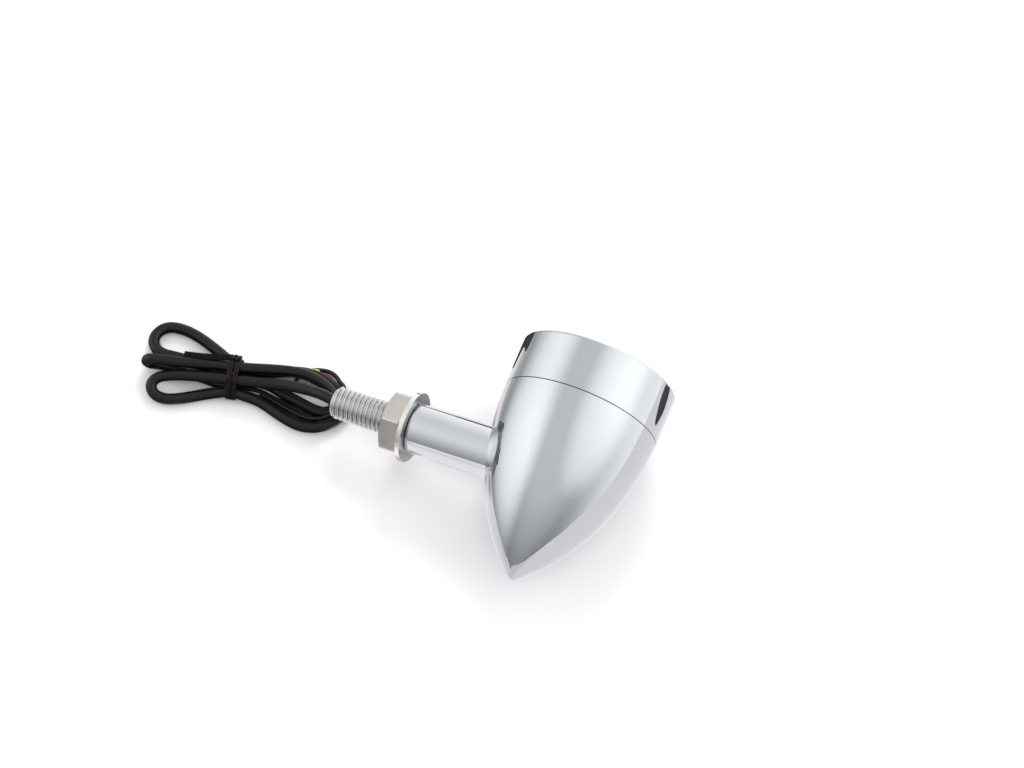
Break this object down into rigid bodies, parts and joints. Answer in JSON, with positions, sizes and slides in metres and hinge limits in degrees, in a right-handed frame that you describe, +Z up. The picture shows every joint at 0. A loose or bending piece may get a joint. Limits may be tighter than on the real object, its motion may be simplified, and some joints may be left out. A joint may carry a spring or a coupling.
{
  "type": "turn signal indicator",
  "caption": "Chrome bullet-shaped motorcycle turn signal with a lens in a bezel, a round stem, a hollow threaded mounting stud with washer and nut, and a tied hank of cable.",
  "frame": {"origin": "on the stud's axis, half way along its free thread", "axes": "the lamp at rest on a table: +Z up, -X towards the stud's free end (the stud's axis slopes 7.2 degrees down to it), +Y the way the lens looks"},
  "size_m": [0.1597, 0.0721, 0.0499],
  "materials": {
    "chrome": "polished chrome plating",
    "zinc_steel": "bright zinc plating",
    "nickel_steel": "satin nickel plating",
    "smoked_lens": "clear smoked plastic",
    "black_rubber": "matte",
    "silvered_plastic": "silvered",
    "white_board": "white solder mask",
    "amber_resin": "clear amber resin",
    "resistor_black": "matte",
    "cable_sheath": "satin black sheath",
    "tie_tape": "satin dark tape",
    "yellow_wire": "gloss insulation",
    "red_wire": "gloss insulation",
    "black_wire": "gloss insulation",
    "copper": "bare strands"
  },
  "bodies": {
    "lamp": {"bullet_body": "chrome", "bezel_ring": "chrome", "lens": "smoked_lens", "lens_seal": "black_rubber", "reflector": "silvered_plastic", "led_board": "white_board", "amber_leds": "amber_resin", "board_resistors": "resistor_black", "bezel_screw": "zinc_steel", "stem_tube": "chrome", "hollow_stud": "zinc_steel", "inner_nut": "zinc_steel", "lock_washer": "zinc_steel", "cable_bush": "black_rubber", "stud_lead": "cable_sheath", "inner_wire_yellow": "yellow_wire", "inner_wire_red": "red_wire", "inner_wire_black": "black_wire", "cable_lead": "cable_sheath", "cable_hank": "cable_sheath", "hank_tie": "tie_tape", "wire_end_yellow": "yellow_wire", "wire_end_red": "red_wire", "wire_end_black": "black_wire", "copper_tips": "copper"},
    "washer": {"mounting_washer": "zinc_steel"},
    "nut": {"mounting_nut": "nickel_steel"}
  },
  "joints": [
    {"name": "washer_slide", "type": "slide", "parent": "lamp", "child": "washer", "axis": [-0.9921, 0, -0.1253], "range_m": [0, 0.015]},
    {"name": "nut_spin", "type": "hinge", "parent": "washer", "child": "nut", "pos_m": [0, 0, 0], "axis": [-0.9921, 0, -0.1253], "range_deg": [0, 3600]}
  ],
  "couplings": [
    {"joint": "washer_slide", "follows": "nut_spin", "m_per_rad": 0.00023873}
  ]
}
